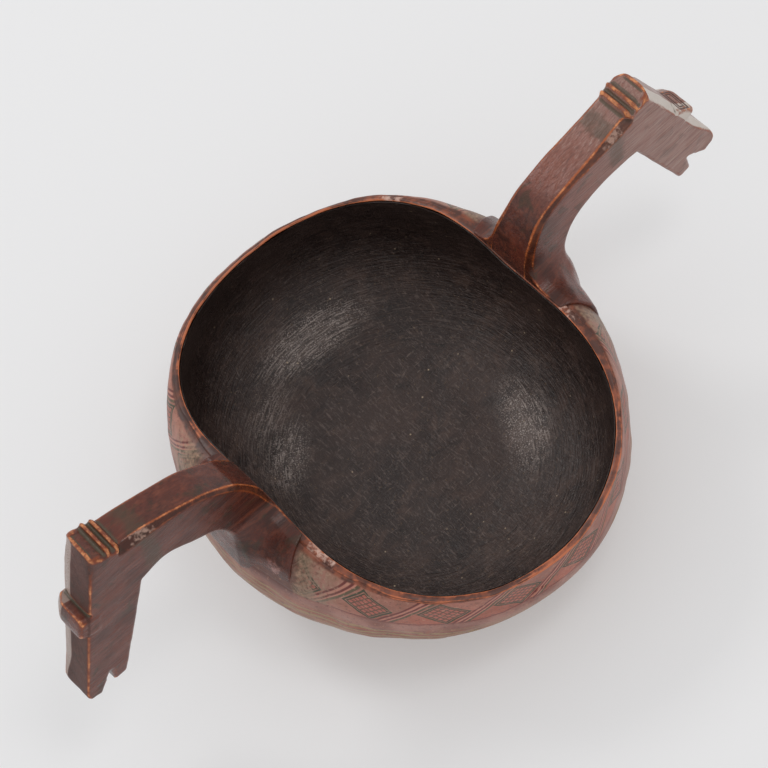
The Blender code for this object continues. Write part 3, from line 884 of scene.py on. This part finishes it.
def painted_wood():
    s = Shop("bowl_painted_birch")
    turn, drop, edge = s.attribute("turn"), s.attribute("drop"), s.attribute("edge")
    cloud, mottle, speck = s.noise(15.0, 3.0), s.noise(5.0, 3.0, rough=0.6), s.noise(1.5, 3.0)
    clouds, mottles, specks = cloud - 0.5, mottle - 0.5, speck - 0.5
    grain = s.noise(1.6, 4.0, (0.08, 1, 1), rough=0.6)
    waver = (s.noise(9.0, 2.0) - 0.5) * 0.10
    from_root = s.math("PINGPONG", turn, 90.0)

    # u runs across one diamond, v from 0 at the foot of the band to 1 at the rim
    phase = 13.0 - s.math("GREATER_THAN", turn, 180.0) * 8.0
    u = s.math("FRACT", (turn - phase) / DIAMOND_STEP + 0.5 + waver * 0.5) - 0.5
    v = 1.0 - drop / BAND_DEPTH + waver
    across, up = u / DIAMOND_WIDE, (v - DIAMOND_MIDDLE) / DIAMOND_MIDDLE
    diamond = abs(u) / DIAMOND_WIDE + abs(v - DIAMOND_MIDDLE) / DIAMOND_MIDDLE
    inside, outer = s.ramp(diamond, 0.84, 0.80), s.ramp(diamond, 1.0, 1.05)
    outline = s.ramp(abs(diamond - 0.955), 0.075, 0.045)
    second = s.ramp(abs(diamond - 0.80), 0.055, 0.03)
    grid = (s.math("PINGPONG", way * 3.1 + 0.5, 0.5) for way in (across + up, across - up))
    lines = s.ramp(s.least(*grid), 0.20, 0.08)

    # ribbons run beside each diamond's upper left side
    slide = s.math("FRACT", u - DIAMOND_WIDE * (v - 1.0) / 0.5 + 1.0)

    def ribbon(middle, end, start):
        return s.ramp(abs(slide - middle), end, start)

    red = s.most(ribbon(0.775, 0.028, 0.014), ribbon(0.875, 0.028, 0.014))
    pink = s.most(ribbon(0.825, 0.026, 0.014), ribbon(0.918, 0.022, 0.012))
    green = ribbon(0.96, 0.034, 0.022)
    beside = s.ramp(abs(s.math("COSINE", turn * DEG)), 0.50, 0.92)
    beside_paint = s.mix(s.ramp(mottle, 0.4, 0.6), (164, 122, 108), (132, 106, 88))
    low = s.ramp(abs(drop - BAND_DEPTH - 0.3 + waver * 4), 0.85, 0.45)
    faded = s.ramp(from_root + mottles * 14, 37.0, 27.0) * s.ramp(mottle + speck, 0.85, 1.1)
    hatched = s.ramp(from_root + mottles * 6, 27.5, 24.5)
    hatched_paint = s.mix(s.ramp(speck, 0.4, 0.6), (104, 84, 64), (140, 112, 90))
    band = s.layers(
        s.mix(s.ramp(cloud, 0.35, 0.65), (170, 104, 86), (140, 86, 70)),
        (s.ramp(grain, 0.5, 0.75) * 0.4, 188, 136, 114),
        (s.math("LESS_THAN", v, 0.5) * outer * 0.45, 156, 72, 50),
        (s.ramp(mottle, 0.58, 0.70) * 0.35, 124, 90, 64),
        (beside * 0.5, beside_paint),
        (red * outer, 104, 38, 32),
        (pink * outer, 178, 116, 98),
        (green * outer * 0.9, 78, 70, 46),
        (inside, 168, 92, 76),
        (inside * lines * 0.95, 92, 64, 46),
        (s.most(outline, second * 0.85), 60, 60, 39),
        (low * 0.8, 104, 40, 32),
        (faded * 0.7, 148, 124, 104),
        (hatched * 0.75, hatched_paint))

    flow = s.noise(8.0, 3.0, (0.12, 0.4, 1), distort=0.7)
    stripe = s.math("PINGPONG", drop * 0.27 + flow * 2.4, 0.5)
    below = s.ramp(drop, 22.0, 29.0)
    belly = s.layers(
        s.mix(s.ramp(cloud, 0.3, 0.7), (160, 112, 99), (130, 83, 72)),
        (below * s.ramp(stripe, 0.26, 0.40) * 0.8, 156, 134, 90),
        (below * s.ramp(stripe, 0.14, 0.04) * 0.8, 158, 90, 54),
        (below * s.ramp(abs(stripe - 0.22), 0.035, 0.01) * 0.7, 86, 56, 44))

    on_belly = s.ramp(drop + waver * 5, BAND_DEPTH, BAND_DEPTH + 0.9)
    beneath = s.ramp(from_root + mottles * 3, 23.0, 20.0) * s.ramp(drop, 25.0, 19.0)
    lip = s.ramp(drop + mottles * 0.8, 1.5, 0.8)
    lip_wood = s.layers(
        s.mix(s.ramp(mottle + clouds * 0.6, 0.40, 0.66), (78, 39, 26), (134, 68, 41)),
        (s.ramp(abs(turn - 118.0), 62.0, 40.0) * 0.55, 50, 25, 19))
    worn = s.ramp(edge + specks * 0.6 + clouds * 1.6 + mottles, 0.38, 0.95)
    bare = s.ramp(from_root, 19.5, 22.5) * 0.75 + 0.15
    chips = s.most(*(s.ramp(abs(turn - middle), end, start) for middle, end, start in
                     ((48.0, 6.0, 2.0), (208.0, 8.0, 3.2), (337.0, 5.0, 2.0))))
    chips = s.ramp(chips * 0.4 + mottle * 0.6 + speck * 0.5, 0.88, 1.06) * s.ramp(drop, 0.9, 0.2)
    colour = s.layers(
        s.mix(on_belly, band, belly),
        (beneath * 0.85, 92, 48, 40),
        (s.ramp(speck, 0.60, 0.72) * 0.4, 186, 146, 122),
        (s.ramp(speck, 0.42, 0.34) * 0.4, 76, 48, 38),
        (lip, lip_wood),
        (worn * bare, 196, 110, 70),
        (chips * 0.8, 204, 172, 158))
    roughness = 0.42 + clouds * 0.2 + specks * 0.2
    bump = s.relief((s.most(outline, second, low), -0.10), (grain, 0.08), (speck, 0.06))
    return s.finish(colour, roughness, bump, specular=0.5)


def coated_wood():
    s = Shop("coat_black_wood")
    painted_coat_highlight, reach = s.attribute("painted_coat_highlight"), s.attribute("reach")
    cloud, speck, grit = s.noise(22.0, 3.0), s.noise(1.1, 2.0), s.noise(0.6, 2.0)
    wipe = s.noise(9.0, 4.0, (0.6, 1, 1), (0, 0, 0.9), 1.2, 0.6)
    fleck = s.cells(5.2)
    scratch = s.noise(0.8, 3.0, (0.18, 1, 1), (0, 0, 0.5), 1.4, 0.6)
    stroke = s.most(*(s.noise(1.0, 3.0, (1, 0.2, 1), (0, 0, angle), 0.9, 0.65)
                      for angle in (0.3, 1.5, 2.4)))
    # marks drawn out around the bowl, fading towards its middle
    outward = s.ramp(reach, 40.0, 74.0)
    turned, fine = (0.5 + (s.swirl_noise(around, size, detail) - 0.5) * outward
                    for around, size, detail in ((7.0, 1.1, 3.0), (11.0, 0.7, 2.0)))
    # painted highlights on the coat, broken up by the marks, with painted glints
    painted_highlight_breakup = s.ramp(painted_coat_highlight + (wipe - 0.5) * 1.1 + (fine - 0.5) * 1.2 + (grit - 0.5) * 1.6,
                    0.15, 1.35)
    glint = s.ramp(s.most(fine, grit), 0.55, 0.66) * s.ramp(painted_coat_highlight, 0.15, 0.9)
    colour = s.layers(
        s.mix(s.ramp(cloud, 0.35, 0.7), (42, 29, 26), (60, 44, 39)),
        (s.ramp(wipe, 0.48, 0.72) * 0.6, 82, 62, 54),
        (s.ramp(stroke, 0.58, 0.70) * 0.5, 114, 98, 92),
        (s.ramp(wipe, 0.42, 0.30) * 0.5, 26, 17, 15),
        # painted highlights and glints, and darker marks within them
        (painted_highlight_breakup * s.ramp(painted_coat_highlight, 0.02, 0.35) * 0.45, 128, 114, 108),
        (glint * 0.65, 188, 174, 166),
        (s.ramp(fine, 0.46, 0.38) * s.ramp(painted_coat_highlight, 0.1, 0.6) * 0.5, 42, 33, 30),
        (s.ramp(turned, 0.58, 0.70) * 0.4, 98, 84, 79),
        (s.ramp(fine, 0.58, 0.70) * 0.35, 96, 78, 70),
        (s.ramp(turned, 0.42, 0.32) * 0.6, 22, 14, 12),
        (s.ramp(scratch, 0.60, 0.70) * 0.5, 116, 99, 90),
        (s.ramp(fleck, 0.10, 0.04) * s.ramp(wipe, 0.50, 0.58) * 0.8, 190, 168, 140),
        (s.ramp(speck, 0.64, 0.76) * 0.5, 112, 90, 66),
        # painted shade on the upper wall, below the rim
        (s.ramp(reach, 100.0, 142.0) * 0.5, 20, 13, 12))
    roughness = 0.36 + (cloud - 0.5) * 0.25 + (speck - 0.5) * 0.35 + (wipe - 0.5) * 0.2
    bump = s.relief((turned, 0.34), (fine, 0.20), (s.most(scratch, stroke), 0.24), (speck, 0.18))
    return s.finish(colour, roughness, bump, specular=0.36)


def floor_paper():
    s = Shop("pale_floor")
    cloud = s.noise(400.0, 2.0)
    colour = s.mix(cloud, (205, 205, 206), (207, 207, 208))
    s.shader.inputs["Emission Color"].default_value = (1.0, 1.0, 1.0, 1.0)
    s.shader.inputs["Emission Strength"].default_value = 0.225
    bump = s.relief((s.noise(3.0, 2.0), 0.02))
    return s.finish(colour, 0.9 + (cloud - 0.5) * 0.02, bump, specular=0.1)


# ---------------------------------------------------------------- stage, lights, camera

def make_floor():
    size, steps = 5.0, 20           # half its width in metres, and its squares each way
    grid = np.linspace(-size, size, steps + 1) / MM
    x, y = np.meshgrid(grid, grid, indexing="ij")
    points = np.stack([x, y, 0 * x], -1).reshape(-1, 3)
    n = steps + 1
    i, j = np.meshgrid(np.arange(steps), np.arange(steps), indexing="ij")
    first = (i * n + j).ravel()
    quads = np.stack([first, first + n, first + n + 1, first + 1], 1)
    floor = mesh_object("floor", points, quads)
    floor.data.materials.append(floor_paper())


def add_area(name, place, size, energy):
    """A square soft light of that size in metres, aimed at the bowl."""
    data = bpy.data.lights.new(name, "AREA")
    data.shape = "RECTANGLE"
    data.size = data.size_y = size
    data.energy = energy
    light = bpy.data.objects.new(name, data)
    bpy.context.scene.collection.objects.link(light)
    light.location = place
    aim = Vector((0, 0, 0.05)) - Vector(place)
    light.rotation_euler = aim.to_track_quat("-Z", "Y").to_euler()


def make_lights():
    world = bpy.data.worlds.new("studio")
    bpy.context.scene.world = world
    world.use_nodes = True
    background = world.node_tree.nodes["Background"]
    background.inputs["Color"].default_value = (1.0, 1.0, 1.0, 1.0)
    background.inputs["Strength"].default_value = 0.74
    add_area("back_softbox", (-0.35, 1.35, 1.5), 0.55, 6.5)
    add_area("top_softbox", (0.45, -0.45, 1.9), 0.5, 3.6)


def make_camera():
    elevation, heading, roll = 60.508 * DEG, 25.342 * DEG, -18.689 * DEG
    target, away = Vector((-1.19, 3.91, 72.0)) * MM, 1.2
    level = Vector((math.cos(heading), -math.sin(heading), 0))
    ahead = Vector((math.sin(heading), math.cos(heading), 0))
    forward = ahead * math.cos(elevation) - Vector((0, 0, math.sin(elevation)))
    upright = level.cross(forward)
    right = level * math.cos(roll) + upright * math.sin(roll)
    up = upright * math.cos(roll) - level * math.sin(roll)
    data = bpy.data.cameras.new("camera")
    data.sensor_width = 36.0
    data.lens = data.sensor_width * 3000 / 768      # a focal length of 3000 in a 768-wide frame
    data.clip_end = 50.0
    camera = bpy.data.objects.new("camera", data)
    bpy.context.scene.collection.objects.link(camera)
    turned = Matrix((right, up, -forward)).transposed().to_4x4()
    camera.matrix_world = Matrix.Translation(target - forward * away) @ turned
    bpy.context.scene.camera = camera
    bpy.context.scene.view_settings.view_transform = "Standard"


def dress(piece, node, material):
    piece.data.materials.append(material)
    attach(piece, "root")
    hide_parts(node)


def main():
    make_floor()
    make_lights()
    make_camera()
    wood = handle_wood()
    dress(make_bowl(), "bowl", painted_wood())
    dress(make_coat(), "interior_coat", coated_wood())
    dress(make_handle("left_horse_handle", LEFT_HEAD), "left_handle", wood)
    dress(make_handle("right_horse_handle", RIGHT_HEAD), "right_handle", wood)


main()
